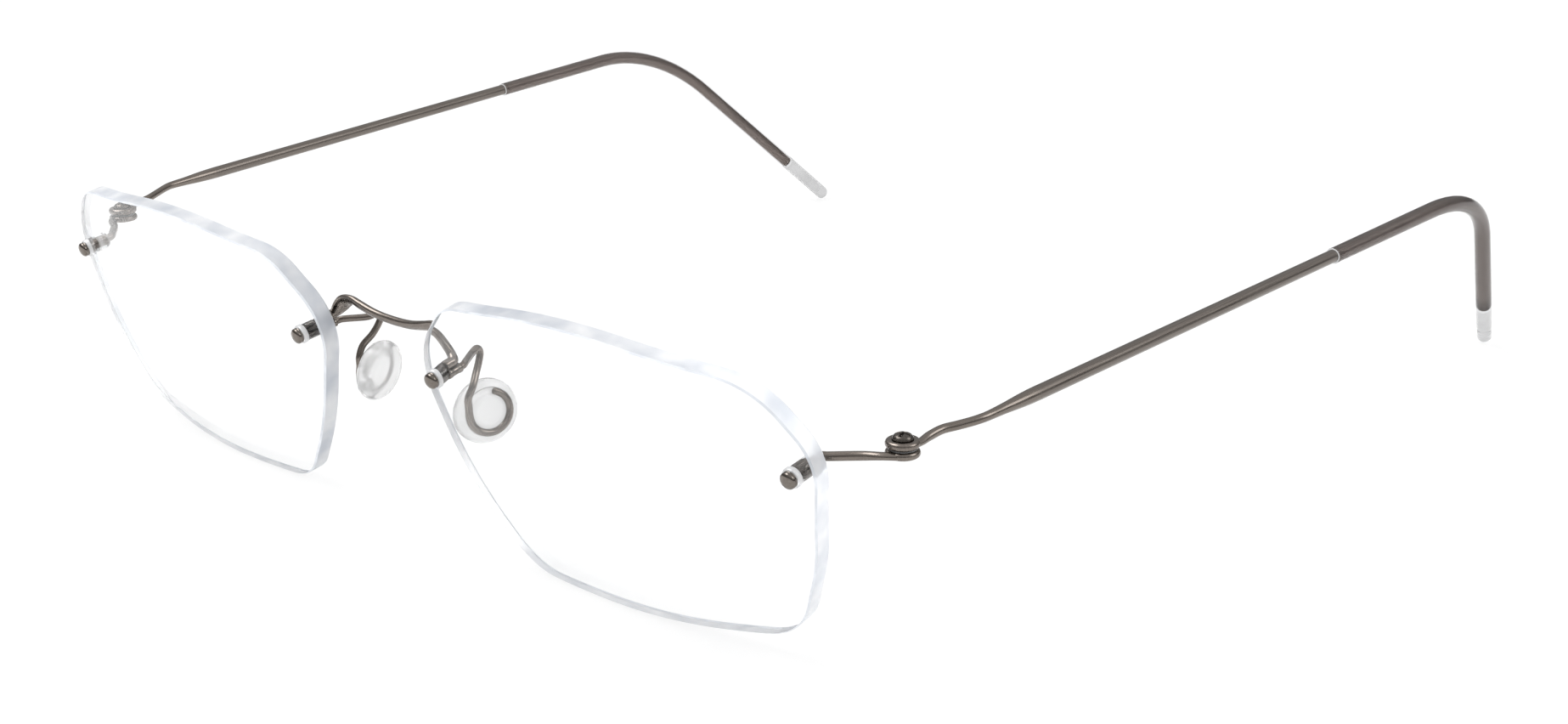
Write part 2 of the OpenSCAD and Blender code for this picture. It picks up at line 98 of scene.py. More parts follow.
SLEEVE_AT = 67.5
BEND_AT = 100.5
BEND_R = 26.0
LEG_SLOPE = math.radians(42.5)
LEG_IN = math.radians(20)
ROD_RISE = math.radians(2.8)
ROD_SPREAD = math.radians(2.4)
ROD_FROM = 9.0
TAPER_LEN = 6.5
SLEEVE_D = 1.78
TIP_D = 2.04
TIP_LEN = 13.0
TIP_END = 1.8
BORE_LEN = 7.8
MOUTH_LEN = 0.7

# Corners of the lens from its middle: across (towards the temple), up, corner radius
HALF_W = LENS_W / 2
HALF_H = LENS_H / 2
LENS_CORNERS = [
    (-2.5, HALF_H + 0.5, 75),
    (HALF_W - 5.2, HALF_H - 2.2, 10),
    (HALF_W + 0.5, HALF_H - 9.2, 7),
    (HALF_W - 1.3, -4.6, 22),
    (HALF_W - 4.9, 2.1 - HALF_H, 7),
    (4.5, -HALF_H - 0.1, 100),
    (10.6 - HALF_W, -HALF_H, 6.6),
    (3.6 - HALF_W, -6.4, 40),
    (-HALF_W - 1.1, HALF_H - 9.2, 8),
    (5.9 - HALF_W, HALF_H - 2, 8),
]


# ---------------------------------------------------------------- plain geometry
def vec(*p):
    return np.array(p, float)


def unit(v):
    return v / np.linalg.norm(v)


def corner_arc(corners, i, steps):
    """Points of the arc that rounds corner i of a closed outline."""
    here = vec(*corners[i][:2])
    to_prev = vec(*corners[i - 1][:2]) - here
    to_next = vec(*corners[(i + 1) % len(corners)][:2]) - here
    a, b = unit(to_prev), unit(to_next)
    half = math.acos(a @ b) / 2
    back = min(corners[i][2] / math.tan(half),
               0.48 * np.linalg.norm(to_prev), 0.48 * np.linalg.norm(to_next))
    r = back * math.tan(half)
    middle = here + unit(a + b) * r / math.sin(half)
    p = here + a * back - middle
    turn = math.pi - 2 * half
    out = []
    for k in range(steps + 1):
        t = -turn * k / steps
        out.append(middle + vec(p[0] * math.cos(t) - p[1] * math.sin(t),
                                p[0] * math.sin(t) + p[1] * math.cos(t)))
    return out


def spaced(loop, step):
    """A closed loop with points added, so that none are further apart than step."""
    out = []
    for a, b in zip(loop, loop[1:] + loop[:1]):
        n = max(1, int(np.linalg.norm(b - a) / step))
        out += [a + (b - a) * k / n for k in range(n)]
    return out


def inset(loop, d):
    """A clockwise closed loop moved inwards by d."""
    out = []
    for i, p in enumerate(loop):
        t = unit(loop[(i + 1) % len(loop)] - loop[i - 1])
        out.append(p + vec(t[1], -t[0]) * d)
    return out


def smooth(points, steps):
    """Catmull-Rom curve through points; what follows x, y, z in a point is blended too."""
    p = [vec(*q) for q in points]
    out = []
    for i in range(len(p) - 1):
        a, b, c, d = p[max(i - 1, 0)], p[i], p[i + 1], p[min(i + 2, len(p) - 1)]
        for k in range(steps):
            t = k / steps
            out.append((2 * b + (c - a) * t + (2 * a - 5 * b + 4 * c - d) * t ** 2
                        + (3 * b - a - 3 * c + d) * t ** 3) / 2)
    return out + [p[-1]]


def frames(points, side):
    """Tangent and two cross directions at each point, carried along without twist."""
    out = []
    n = len(points) - 1
    for i in range(n + 1):
        t = unit(points[min(i + 1, n)] - points[max(i - 1, 0)])
        side = unit(side - (side @ t) * t)
        out.append((t, side, np.cross(t, side)))
    return out


class Skin:
    """Vertices, faces, UVs (around, along in mm) and face groups of one piece."""

    def __init__(self):
        self.verts, self.faces, self.uvs, self.groups = [], [], [], []

    def ring(self, points, u, v):
        start = len(self.verts)
        self.verts += [vec(*p) for p in points]
        self.uvs += list(zip(u, v))
        return list(range(start, start + len(points)))

    def join(self, a, b, group=0):
        """Faces between two rings with as many points each."""
        n = len(a)
        for k in range(n):
            self.faces.append((a[k], a[(k + 1) % n], b[(k + 1) % n], b[k]))
            self.groups.append(group)

    def close(self, ring, middle, v, last, group=0):
        """A fan from ring to a point; last tells which end of the skin it closes."""
        pole = self.ring([middle], [0.0], [v])[0]
        n = len(ring)
        for k in range(n):
            a, b = ring[k], ring[(k + 1) % n]
            self.faces.append((a, b, pole) if last else (b, a, pole))
            self.groups.append(group)


def circle_angles(n):
    return [2 * math.pi * k / n for k in range(n)]


def sweep(skin, points, side, corners=24, round_ends=(0.0, 0.0)):
    """An oval wire along points of (x, y, z, half width, half height), ends rounded."""
    centre = [p[:3] for p in points]
    around = circle_angles(corners)
    rings = []
    length = 0.0
    fr = frames(centre, side)
    stations = []
    for i, p in enumerate(points):
        if i:
            length += np.linalg.norm(centre[i] - centre[i - 1])
        stations.append((p[:3], fr[i], p[3], p[4], length))
    t0, t1 = fr[0][0], fr[-1][0]
    caps = (math.radians(72), math.radians(50), math.radians(25))
    if round_ends[0]:
        front = [(points[0][:3] - t0 * round_ends[0] * math.sin(a), fr[0],
                  points[0][3] * math.cos(a), points[0][4] * math.cos(a), 0.0) for a in caps]
        stations = front + stations
    if round_ends[1]:
        stations += [(points[-1][:3] + t1 * round_ends[1] * math.sin(a), fr[-1],
                      points[-1][3] * math.cos(a), points[-1][4] * math.cos(a), length)
                     for a in reversed(caps)]
    for c, (t, s, n), w, h, along in stations:
        rings.append(skin.ring([c + s * w * math.cos(a) + n * h * math.sin(a) for a in around],
                               [a / (2 * math.pi) for a in around], [along] * corners))
    for a, b in zip(rings, rings[1:]):
        skin.join(a, b)
    skin.close(rings[0], points[0][:3] - t0 * round_ends[0], 0.0, False)
    skin.close(rings[-1], points[-1][:3] + t1 * round_ends[1], length, True)
    return skin


def revolve(skin, profile, origin, axis, corners=48, closed=False):
    """Turns a profile of (radius, height) about an axis; closed profiles make rings."""
    axis = unit(axis)
    helper = vec(0, 0, 1) if abs(axis[2]) < 0.9 else vec(1, 0, 0)
    u = unit(helper - (helper @ axis) * axis)
    w = np.cross(axis, u)
    around = circle_angles(corners)
    rings = []
    along = 0.0
    for i, (r, h) in enumerate(profile):
        if i:
            along += math.hypot(r - profile[i - 1][0], h - profile[i - 1][1])
        if r < 1e-6:
            rings.append(origin + axis * h)
            continue
        rings.append(skin.ring([origin + axis * h + u * r * math.cos(a) + w * r * math.sin(a)
                                for a in around],
                               [a / (2 * math.pi) for a in around], [along] * corners))
    pairs = list(zip(rings, rings[1:])) + ([(rings[-1], rings[0])] if closed else [])
    for a, b in pairs:
        if isinstance(a, list) and isinstance(b, list):
            skin.join(a, b)
        elif isinstance(b, list):
            skin.close(b, a, 0.0, False)
        elif isinstance(a, list):
            skin.close(a, b, along, True)
    return skin


def arc_profile(r_mid, h_mid, radius, start, stop, steps):
    """Profile points (radius, height) on an arc, angles in degrees from the outward side."""
    out = []
    for k in range(steps + 1):
        a = math.radians(start + (stop - start) * k / steps)
        out.append((r_mid + radius * math.cos(a), h_mid + radius * math.sin(a)))
    return out


# ---------------------------------------------------------------- places, from the frame
def turned(p):
    """A point given across, back and up in the lens's own frame, turned to stand."""
    x = p[0] * math.cos(LENS_WRAP) - p[1] * math.sin(LENS_WRAP)
    y = p[0] * math.sin(LENS_WRAP) + p[1] * math.cos(LENS_WRAP)
    return vec(x, y * math.cos(LENS_TILT) - p[2] * math.sin(LENS_TILT),
               y * math.sin(LENS_TILT) + p[2] * math.cos(LENS_TILT))


def sag(u, v):
    """Depth of the lens's front face at a point across and up from its middle."""
    return LENS_R - math.sqrt(LENS_R ** 2 - u * u - v * v)


def back_sag(u, v):
    r = LENS_R - LENS_T
    return LENS_R - math.sqrt(r * r - u * u - v * v)


OUTLINE = spaced([q for i in range(len(LENS_CORNERS)) for q in corner_arc(LENS_CORNERS, i, 12)],
                 0.9)
OUTLINE = [q - vec(0, OPTIC_RISE) for q in OUTLINE]
edge = ([turned((q[0], sag(*q), q[1])) for q in OUTLINE]
        + [turned((q[0], back_sag(*q), q[1])) for q in OUTLINE])
lens_low = vec(*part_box("left_lens")[0]) / MM
LENS_AT = lens_low - np.min(edge, axis=0)


def at_lens(u, n, v):
    return LENS_AT + turned((u, n, v))


PIN_AXIS = turned((0, 1, 0))
LENS_UP = turned((0, 0, 1))
NASAL_U = NASAL_INSET - HALF_W
TEMPORAL_U = HALF_W - TEMPORAL_INSET
NASAL_FACE = sag(NASAL_U, HOLE_RISE)
TEMPORAL_FACE = sag(TEMPORAL_U, HOLE_RISE)
BAR_STEP = (BAR_D + SEAT) / 2
TAIL_LIFT = BAR_STEP * 0.68
NASAL_BACK = NASAL_FACE + LENS_T + 0.35
TEMPORAL_BACK = TEMPORAL_FACE + LENS_T + REAR_SLEEVE + 0.35

JOINT_AT = {j["name"]: vec(*j["pos_m"]) / MM for j in frame["joints"]}
UPPER_EYE = JOINT_AT["left_temple_fold"]
HINGE_X, HINGE_Y, UPPER_Z = UPPER_EYE
LOWER_Z = UPPER_Z - WASHER_T - 2 * SEAT - EYE_T
HEAD_Z = UPPER_Z + EYE_T + SEAT
FLAT_R = min(WIRE_D, EYE_T) / 2 - SEAT

ROD_DIR = vec(math.sin(ROD_SPREAD) * math.cos(ROD_RISE),
              math.cos(ROD_SPREAD) * math.cos(ROD_RISE), math.sin(ROD_RISE))
LEG_DIR = vec(-math.sin(LEG_IN) * math.cos(LEG_SLOPE),
              math.cos(LEG_IN) * math.cos(LEG_SLOPE), -math.sin(LEG_SLOPE))
ROD_START = vec(HINGE_X + 3.05, HINGE_Y + ROD_FROM, UPPER_Z + EYE_T / 2 + 0.92)
CORNER = ROD_START + ROD_DIR * (BEND_AT - ROD_FROM) / ROD_DIR[1]
SLEEVE_START = ROD_START + ROD_DIR * (SLEEVE_AT - ROD_FROM) / ROD_DIR[1]
LEG_LEN = (CORNER[2] - TIP_D / 2) / -LEG_DIR[2]
BEND_ANGLE = math.acos(ROD_DIR @ LEG_DIR)
BEND_CUT = BEND_R * math.tan(BEND_ANGLE / 2)

pad_low, pad_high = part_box("left_nose_pad")
PAD = vec(*(pad_low + pad_high)) / 2 / MM
PAD_OUT = unit(vec(0.95, -0.25, 0.15))
PAD_BACK = unit(np.cross(vec(0, 0, 1), PAD_OUT))
PAD_UP = np.cross(PAD_OUT, PAD_BACK)
GROOVE_H = PAD_T / 2 + 0.05


def on_pad(u, v, out):
    return PAD + PAD_BACK * u + PAD_UP * v + PAD_OUT * out


# ---------------------------------------------------------------- making objects
def make(name, skin, body, materials, side, node=None):
    """One Blender object from a skin built for the wearer's left; side -1 mirrors it."""
    flip = vec(side, 1, 1) * MM
    verts = [tuple(v * flip) for v in skin.verts]
    faces = skin.faces if side > 0 else [tuple(reversed(f)) for f in skin.faces]
    mesh = bpy.data.meshes.new(name)
    mesh.from_pydata(verts, [], faces)
    for m in materials:
        mesh.materials.append(m)
    layer = mesh.uv_layers.new(name="along")
    for poly, group in zip(mesh.polygons, skin.groups):
        poly.use_smooth = True
        poly.material_index = group
        us = [skin.uvs[mesh.loops[i].vertex_index][0] for i in poly.loop_indices]
        wraps = max(us) - min(us) > 0.5
        for i in poly.loop_indices:
            u, v = skin.uvs[mesh.loops[i].vertex_index]
            layer.data[i].uv = (u + 1.0 if wraps and u < 0.5 else u, v)
    mesh.validate()
    obj = bpy.data.objects.new(name, mesh)
    bpy.context.scene.collection.objects.link(obj)
    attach(obj, body)
    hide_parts(node or name)
    return obj


def sharpen(obj, degrees):
    """Keeps edges sharper than this angle crisp in the shading."""
    obj.data.set_sharp_from_angle(angle=math.radians(degrees))


# ---------------------------------------------------------------- materials
def new_material(name):
    m = bpy.data.materials.new(name)
    m.use_nodes = True
    nodes, links = m.node_tree.nodes, m.node_tree.links
    return m, nodes, links, nodes["Principled BSDF"]


def add(nodes, kind, **values):
    n = nodes.new(kind)
    for key, value in values.items():
        setattr(n, key, value)
    return n


def ramp(nodes, links, source, stops):
    """Colour ramp with (position, colour) stops, fed by source."""
    r = add(nodes, "ShaderNodeValToRGB")
    while len(r.color_ramp.elements) < len(stops):
        r.color_ramp.elements.new(0.5)
    for e, (place, colour) in zip(r.color_ramp.elements, stops):
        e.position = place
        e.color = (*colour, 1)
    links.new(source, r.inputs["Fac"])
    return r.outputs["Color"]


def streaks(nodes, links, across, along):
    """Noise drawn out along the wire, from the (around, along) UVs."""
    uv = add(nodes, "ShaderNodeUVMap", uv_map="along")
    scale = add(nodes, "ShaderNodeMapping")
    scale.inputs["Scale"].default_value = (across, along, 1)
    noise = add(nodes, "ShaderNodeTexNoise")
    noise.inputs["Scale"].default_value = 1.0
    noise.inputs["Detail"].default_value = 3.0
    links.new(uv.outputs["UV"], scale.inputs["Vector"])
    links.new(scale.outputs["Vector"], noise.inputs["Vector"])
    return noise.outputs["Fac"]


def titanium(name, dark, light, rough, across=40.0, along=0.5):
    """Polished warm grey titanium with fine drawing lines along the wire."""
    m, nodes, links, bsdf = new_material(name)
    lines = streaks(nodes, links, across, along)
    links.new(ramp(nodes, links, lines, [(0.3, dark), (0.7, light)]), bsdf.inputs["Base Color"])
    links.new(ramp(nodes, links, lines, [(0.3, (rough - 0.05,) * 3), (0.7, (rough + 0.07,) * 3)]),
              bsdf.inputs["Roughness"])
    bsdf.inputs["Metallic"].default_value = 1.0
    bump = add(nodes, "ShaderNodeBump")
    bump.inputs["Strength"].default_value = 0.06
    bump.inputs["Distance"].default_value = 0.00002
    links.new(lines, bump.inputs["Height"])
    links.new(bump.outputs["Normal"], bsdf.inputs["Normal"])
    return m


def clear(name, low, high, ior, rough, scale=400.0, bump_height=0.0, through=1.0, shine=1.0):
    """Clear or milky material: its tint drifts a little through the piece."""
    m, nodes, links, bsdf = new_material(name)
    place = add(nodes, "ShaderNodeTexCoord")
    noise = add(nodes, "ShaderNodeTexNoise")
    noise.inputs["Scale"].default_value = scale
    noise.inputs["Detail"].default_value = 2.0
    links.new(place.outputs["Object"], noise.inputs["Vector"])
    links.new(ramp(nodes, links, noise.outputs["Fac"], [(0.3, low), (0.7, high)]),
              bsdf.inputs["Base Color"])
    links.new(ramp(nodes, links, noise.outputs["Fac"],
                   [(0.3, (rough,) * 3), (0.7, (rough + 0.03,) * 3)]), bsdf.inputs["Roughness"])
    bsdf.inputs["IOR"].default_value = ior
    bsdf.inputs["Transmission Weight"].default_value = through
    bsdf.inputs["Specular Tint"].default_value = (shine, shine, shine, 1)
    if bump_height:
        bump = add(nodes, "ShaderNodeBump")
        bump.inputs["Strength"].default_value = 0.3
        bump.inputs["Distance"].default_value = bump_height
        links.new(noise.outputs["Fac"], bump.inputs["Height"])
        links.new(bump.outputs["Normal"], bsdf.inputs["Normal"])
    return m


WIRE = titanium("titanium_wire", (0.142, 0.123, 0.109), (0.19, 0.166, 0.147), 0.25)
ROD = titanium("titanium_rod", (0.125, 0.108, 0.097), (0.185, 0.165, 0.148), 0.3, 60.0, 0.12)
CAP = titanium("titanium_cap", (0.13, 0.112, 0.10), (0.19, 0.17, 0.15), 0.16, 12.0, 3.0)
SCREW = titanium("titanium_screw", (0.07, 0.062, 0.056), (0.10, 0.09, 0.08), 0.27, 30.0, 4.0)
CORE = titanium("titanium_core", (0.16, 0.134, 0.122), (0.21, 0.18, 0.163), 0.34, 60.0, 0.12)
LENS = clear("clear_lens", (0.985, 0.99, 0.995), (1.0, 1.0, 1.0), 1.22, 0.0, 60.0, shine=0.3)
LENS_EDGE = clear("lens_edge", (0.62, 0.66, 0.73), (0.97, 0.98, 1.0), 1.5, 0.3, 250.0, 0.00004,
                  through=0.4)
LENS_RIM = clear("lens_rim", (0.62, 0.65, 0.70), (0.82, 0.85, 0.90), 1.5, 0.3, 400.0,
                 through=0.3)
COLLAR = clear("milky_collar", (0.93, 0.94, 0.96), (1.0, 1.0, 1.0), 1.49, 0.12, through=0.35)
BUSH = clear("clear_bush", (0.90, 0.93, 0.95), (0.98, 0.99, 1.0), 1.49, 0.05)
TUBING = clear("clear_tubing", (0.83, 0.83, 0.84), (0.87, 0.87, 0.88), 1.2, 0.04, shine=0.5)
TUBE_TIP = clear("tube_tip", (0.58, 0.58, 0.585), (0.65, 0.65, 0.655), 1.25, 0.04, shine=0.5)
TUBE_BORE = clear("tube_bore", (0.93, 0.93, 0.93), (1.0, 1.0, 1.0), 1.1, 0.02, shine=0.5)
SILICONE = clear("clear_silicone", (0.84, 0.84, 0.84), (0.93, 0.93, 0.93), 1.41, 0.14, 200.0,
                 through=0.7)
# Painted shade: the washer's near-black colour stands in for the shadow in the gap between the
# hinge eyes.
WASHER_GAP_SHADE = clear("clear_washer", (0.12, 0.12, 0.12), (0.2, 0.2, 0.2), 1.45, 0.4, through=0.2)


# ---------------------------------------------------------------- pieces
def lens(side, name):
    """Drilled lens: two spherical faces, a ground edge and small safety chamfers."""
    rim = inset(OUTLINE, CHAMFER)
    near = inset(OUTLINE, CHAMFER + 0.25)
    holes = []
    for u in (NASAL_U, TEMPORAL_U):
        holes.append([vec(u + HOLE_D / 2 * math.cos(a), HOLE_RISE + HOLE_D / 2 * math.sin(a))
                      for a in circle_angles(32)])
    points = list(rim)
    edges = [(i, (i + 1) % len(rim)) for i in range(len(rim))]
    for h in holes:
        start = len(points)
        points += h
        edges += [(start + i, start + (i + 1) % len(h)) for i in range(len(h))]
    points += near
    grid = 1.5
    loop = np.array(near)
    for i in range(-18, 19):
        for k in range(-13, 13):
            p = vec(i * grid + (k % 2) * grid / 2, k * grid * 0.87)
            away = np.min(np.linalg.norm(loop - p, axis=1))
            hole = min(abs(np.linalg.norm(p - vec(u, HOLE_RISE))) for u in (NASAL_U, TEMPORAL_U))
            if away > 0.8 and hole > HOLE_D / 2 + 0.4 and inside(loop, p):
                points.append(p)
    got = delaunay_2d_cdt([Vector(p) for p in points], edges, [], 0, 1e-6)
    flat = [vec(*p) for p in got[0]]
    where = {orig: i for i, origins in enumerate(got[3]) for orig in origins}
    rim_loop = np.array(rim)
    triangles = []
    for f in got[2]:
        middle = sum(flat[i] for i in f) / len(f)
        hole = min(np.linalg.norm(middle - vec(u, HOLE_RISE)) for u in (NASAL_U, TEMPORAL_U))
        if hole > HOLE_D / 2 and inside(rim_loop, middle):
            triangles.append(f)
    skin = Skin()
    n = len(flat)
    front = skin.ring([at_lens(p[0], sag(*p), p[1]) for p in flat], [0.0] * n, [0.0] * n)
    back = skin.ring([at_lens(p[0], back_sag(*p), p[1]) for p in flat], [0.0] * n, [0.0] * n)
    for f in triangles:
        skin.faces += [tuple(front[i] for i in f), tuple(back[i] for i in reversed(f))]
        skin.groups += [0, 0]
    run = np.cumsum([0.0] + [float(np.linalg.norm(b - a)) for a, b in zip(OUTLINE, OUTLINE[1:])])
    size = len(OUTLINE)
    wall = []
    for part in (0.0, 0.33, 0.67, 1.0):
        depth = [sag(*q) + CHAMFER + (LENS_T - 2 * CHAMFER) * part for q in OUTLINE]
        wall.append(skin.ring([at_lens(q[0], d, q[1]) for q, d in zip(OUTLINE, depth)],
                              [part] * size, run))
    first = [front[where[i]] for i in range(size)]
    last = [back[where[i]] for i in range(size)]
    for k, (a, b) in enumerate(zip([first] + wall, wall + [last])):
        skin.join(a, b, 2 if k in (0, len(wall)) else 1)
    start = size
    for h in holes:
        a = [front[where[start + i]] for i in range(len(h))]
        b = [back[where[start + i]] for i in range(len(h))]
        skin.join(b, a, 0)
        start += len(h)
    obj = make(name, skin, "front", [LENS, LENS_EDGE, LENS_RIM], side)
    sharpen(obj, 25)
    return obj


def inside(loop, p):
    """Whether p is in the closed loop, by counting crossings."""
    a, b = loop, np.roll(loop, -1, axis=0)
    cross = (a[:, 1] > p[1]) != (b[:, 1] > p[1])
    a, b = a[cross], b[cross]
    x = a[:, 0] + (p[1] - a[:, 1]) / (b[:, 1] - a[:, 1]) * (b[:, 0] - a[:, 0])
    return bool(np.sum(x > p[0]) % 2)


def bush(side, name, u, face, end):
    """Clear bush with a rounded collar, closed round the wires that stand in it."""
    r_tube = HOLE_D / 2 - SEAT
    r_col = COLLAR_D / 2
    front = face - COLLAR_H
    profile = [(0.0, front), (r_col - 0.14, front), (r_col - 0.05, front + 0.03),
               (r_col, front + 0.12), (r_col, face - 0.12), (r_col - 0.03, face - 0.05),
               (r_tube, face - 0.02), (r_tube, face + 0.3), (r_tube, end - 0.08),
               (r_tube - 0.08, end), (0.0, end)]
    skin = revolve(Skin(), profile, at_lens(u, 0, HOLE_RISE), PIN_AXIS, 48)
    for k, poly in enumerate(skin.faces):
        middle = sum(skin.verts[i] for i in poly) / len(poly)
        depth = float((middle - at_lens(u, 0, HOLE_RISE)) @ PIN_AXIS)
        skin.groups[k] = 0 if depth < face else 1
    obj = make(name, skin, "front", [COLLAR, BUSH], side)
    sharpen(obj, 40)
    return obj


def cap(side, name, u, face, bore_r):
    """Metal cap: a rounded button, hollow behind for the wire ends."""
    r = CAP_D / 2
    base = face - COLLAR_H - SEAT
    tip = base - CAP_H
    dome = [(0.0, tip)] + [(r * math.sin(a), tip + 0.4 * (1 - math.cos(a)))
                           for a in (math.radians(d) for d in (12, 24, 36, 48, 60, 70, 80, 90))]
    skirt = [(r, base - 0.22), (r - 0.03, base - 0.19), (r - 0.03, base - 0.15), (r, base - 0.12),
             (r, base - 0.04), (r - 0.04, base), (bore_r, base), (bore_r, base - CAP_H + 0.25),
             (0.0, base - CAP_H + 0.25)]
    skin = revolve(Skin(), dome + skirt, at_lens(u, 0, HOLE_RISE), PIN_AXIS, 48)
    obj = make(name, skin, "front", [CAP], side)
    sharpen(obj, 50)
    return obj


def tail_stop(face):
    """Depth at which the wire ends stop inside a cap."""
    return face - COLLAR_H - CAP_H + 0.3


def straight(skin, a, b, r, round_ends):
    """A straight round bar from a to b."""
    steps = 6
    pts = [np.append(a + (b - a) * k / steps, [r, r]) for k in range(steps + 1)]
    return sweep(skin, pts, LENS_UP, round_ends=round_ends)


def bridge(name):
    """Flattened wire between two bars, with the thin tails that go through the lenses."""
    skin = Skin()
    r = BAR_D / 2
    nasal = at_lens(NASAL_U, NASAL_FACE, HOLE_RISE)
    top = nasal[2] + BRIDGE_RISE
    b = at_lens(NASAL_U, NASAL_BACK + BAR_LEN, HOLE_RISE + BAR_STEP)
    a = at_lens(NASAL_U, NASAL_BACK, HOLE_RISE + BAR_STEP)
    tail_a = at_lens(NASAL_U, tail_stop(NASAL_FACE), HOLE_RISE + TAIL_LIFT)
    tail_b = at_lens(NASAL_U, NASAL_BACK + 0.1, HOLE_RISE + TAIL_LIFT)
    w, t = BRIDGE_W / 2, BRIDGE_T / 2
    half = [
        (*a, r, r),
        (*(a + (b - a) * 0.5), r, r),
        (*(b + vec(-0.06, 0.08, 0.03)), r, r),
        (nasal[0] - 0.9, b[1] + 0.45, b[2] + 0.45, 0.66 * w, t),
        (nasal[0] - 1.9, b[1] + 0.5, b[2] + 1.35, 0.95 * w, 0.94 * t),
        (nasal[0] - 3, b[1] + 0.45, top + 1.1, w, 0.9 * t),
        (nasal[0] - 4.3, b[1] + 0.4, top + 1.42, 0.88 * w, 0.9 * t),
        (nasal[0] - 5.9, b[1] + 0.35, top + 1.12, 0.76 * w, t),
        (nasal[0] - 7.6, b[1] + 0.35, top + 0.8, 0.68 * w, t),
        (2, b[1] + 0.4, top + 0.6, 0.63 * w, t),
    ]
    other = [(-p[0], *p[1:]) for p in reversed(half)]
    path = half + [(0, b[1] + 0.4, top + 0.55, 0.62 * w, t)] + other
    sweep(skin, smooth(path, 10), vec(0, -1, 0.2), 28, (0.12, 0.12))
    for s in (1, -1):
        flip = vec(s, 1, 1)
        straight(skin, tail_a * flip, tail_b * flip, TAIL_D / 2, (0.05, 0.0))
    return make(name, skin, "front", [WIRE], 1)


def pad_arm(side, name):
    """Thin wire from the nasal hole, over and down, and round in the pad's groove."""
    r = ARM_D / 2
    skin = Skin()
    tail_a = at_lens(NASAL_U, tail_stop(NASAL_FACE), HOLE_RISE - TAIL_LIFT)
    tail_b = at_lens(NASAL_U, NASAL_BACK, HOLE_RISE - TAIL_LIFT)
    straight(skin, tail_a, tail_b, TAIL_D / 2, (0.05, 0.0))
    s = at_lens(NASAL_U, NASAL_BACK - 0.25, HOLE_RISE - BAR_STEP)
    m = at_lens(NASAL_U, NASAL_BACK + CRIMP_LEN * 0.5, HOLE_RISE - BAR_STEP)
    e = at_lens(NASAL_U, NASAL_BACK + CRIMP_LEN + 0.35, HOLE_RISE - BAR_STEP)
    path = [
        s,
        m,
        e,
        e + vec(-0.4, 0.65, 0.1),
        PAD + vec(-0.2, -1.3, 6.55),
        PAD + vec(-0.58, -0.3, 6.78),
        PAD + vec(-0.66, 0.15, 6.3),
        PAD + vec(-0.52, -0.1, 5.5),
        PAD + vec(-0.2, -0.8, 4.4),
        PAD + vec(0.35, -1.75, 3.25),
        on_pad(-LOOP_R, 1.9, GROOVE_H + 0.12),
        on_pad(-LOOP_R, 0.9, GROOVE_H),
    ]
    for k in range(11):
        t = math.radians(180 + k * 25)
        path.append(on_pad(LOOP_R * math.cos(t), LOOP_R * math.sin(t), GROOVE_H))
    sweep(skin, smooth([(*p, r, r) for p in path], 8), vec(0, 0, 1), 24, (0.0, 0.3))
    return make(name, skin, "front", [WIRE], side)


def pad_crimp(side, name):
    """Pressed sleeve behind the lens, a little narrowed all round where the tool gripped it."""
    r, r_in = BAR_D / 2, ARM_D / 2 + SEAT
    low, high = NASAL_BACK, NASAL_BACK + CRIMP_LEN
    profile = [(r_in, low), (r - 0.07, low), (r, low + 0.07), (r, low + 0.35),
               (r - 0.05, low + 0.5), (r - 0.05, high - 0.5), (r, high - 0.35), (r, high - 0.07),
               (r - 0.07, high), (r_in, high)]
    skin = revolve(Skin(), profile, at_lens(NASAL_U, 0, HOLE_RISE - BAR_STEP), PIN_AXIS,
                   40, closed=True)
    obj = make(name, skin, "front", [CAP], side)
    sharpen(obj, 50)
    return obj


def nose_pad(side, name):
    """Clear silicone disc: domed towards the nose, grooved for the wire behind."""
    half = PAD_T / 2
    groove = ARM_D / 2 + 0.05
    rim_r = PAD_D / 2 - half * 0.85
    profile = [(0.0, -half), (1.0, -half + 0.02), (2.0, -half + 0.06)]
    profile += [(rim_r + half * 0.85 * math.sin(a), -half + 0.1 + (half - 0.1) * (1 - math.cos(a)))
                for a in (math.radians(d) for d in (15, 35, 55, 75, 90))]
    profile += [(rim_r + half * 0.85 * math.cos(a), (half - 0.02) * math.sin(a))
                for a in (math.radians(d) for d in (20, 40, 60, 78, 90))]
    low = math.degrees(math.asin((GROOVE_H - half + 0.02) / groove))
    profile += arc_profile(LOOP_R, GROOVE_H, groove, -low, low - 180, 10)
    profile += [(1.2, half - 0.02), (0.6, half - 0.04), (0.0, half - 0.05)]
    skin = revolve(Skin(), profile, PAD, PAD_OUT, 64)
    obj = make(name, skin, "front", [SILICONE], side)
    return obj


def eye_ring(skin, z, bore_r):
    """Rounded flat eye of the hinge, standing on height z."""
    r_out, r_in = EYE_D / 2, bore_r
    corners = 56
    profile = arc_profile(r_out - EYE_SOFT, EYE_SOFT, EYE_SOFT, -90, 0, 6)
    profile += arc_profile(r_out - EYE_SOFT, EYE_T - EYE_SOFT, EYE_SOFT, 0, 90, 6)
    profile += [(r_out - EYE_SOFT - 0.1, EYE_T), (r_in + 0.1, EYE_T), (r_in + 0.03, EYE_T - 0.03),
                (r_in, EYE_T - 0.1), (r_in, 0.1), (r_in + 0.03, 0.03), (r_in + 0.1, 0.0),
                (r_out - EYE_SOFT - 0.1, 0.0)]
    origin = vec(HINGE_X, HINGE_Y, z)
    return revolve(skin, profile, origin, vec(0, 0, 1), corners, closed=True)


